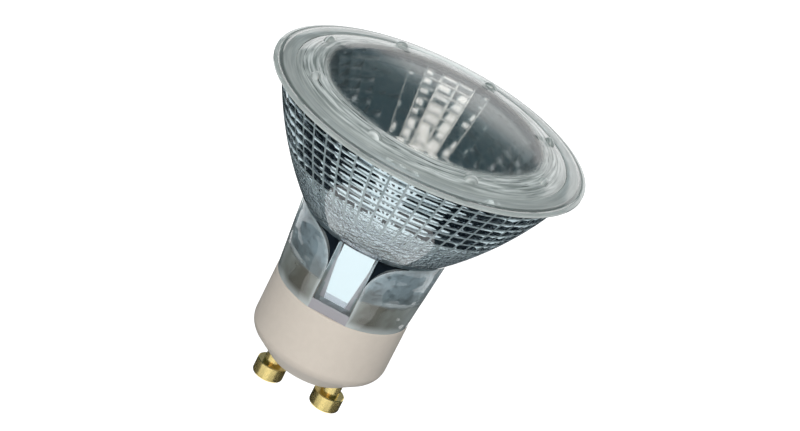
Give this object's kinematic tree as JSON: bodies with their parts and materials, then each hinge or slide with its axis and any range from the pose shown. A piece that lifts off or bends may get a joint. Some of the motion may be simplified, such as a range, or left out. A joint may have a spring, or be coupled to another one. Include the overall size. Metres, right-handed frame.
{
  "type": "reflector spot lamp",
  "caption": "Mains reflector spot bulb: faceted mirrored glass bowl with a clear front glass, quartz capsule, ceramic cap and headed twist-lock pins.",
  "frame": {"origin": "middle of the ceramic cap's end face, between the two pins", "axes": "+Z along the lamp axis, from the cap to the front glass; the two pins lie on X"},
  "size_m": [0.051, 0.051, 0.0532],
  "materials": {
    "clear_glass": "clear pressed glass, polished window and fire-finished rim",
    "sealant": "clear-grey sealing compound",
    "mirrored_glass": "pressed glass with an aluminium film on its faceted inside",
    "quartz": "clear quartz glass, blown and pinched",
    "tungsten": "drawn and coiled tungsten wire",
    "molybdenum": "drawn molybdenum wire and rolled foil",
    "nickel_wire": "drawn nickel wire",
    "cement": "set lamp cement, matt and gritty",
    "ceramic": "pressed and fired off-white steatite, matt",
    "brass": "turned brass, satin"
  },
  "bodies": {
    "root": {"front_glass": "clear_glass", "rim_seal": "sealant", "reflector": "mirrored_glass", "capsule": "quartz", "filament": "tungsten", "filament_support": "molybdenum", "inner_lead_left": "molybdenum", "inner_lead_right": "molybdenum", "seal_foil_left": "molybdenum", "seal_foil_right": "molybdenum", "outer_lead_left": "nickel_wire", "outer_lead_right": "nickel_wire", "capsule_cement": "cement", "base_cement": "cement", "ceramic_base": "ceramic", "contact_pin_left": "brass", "contact_pin_right": "brass"}
  },
  "joints": []
}
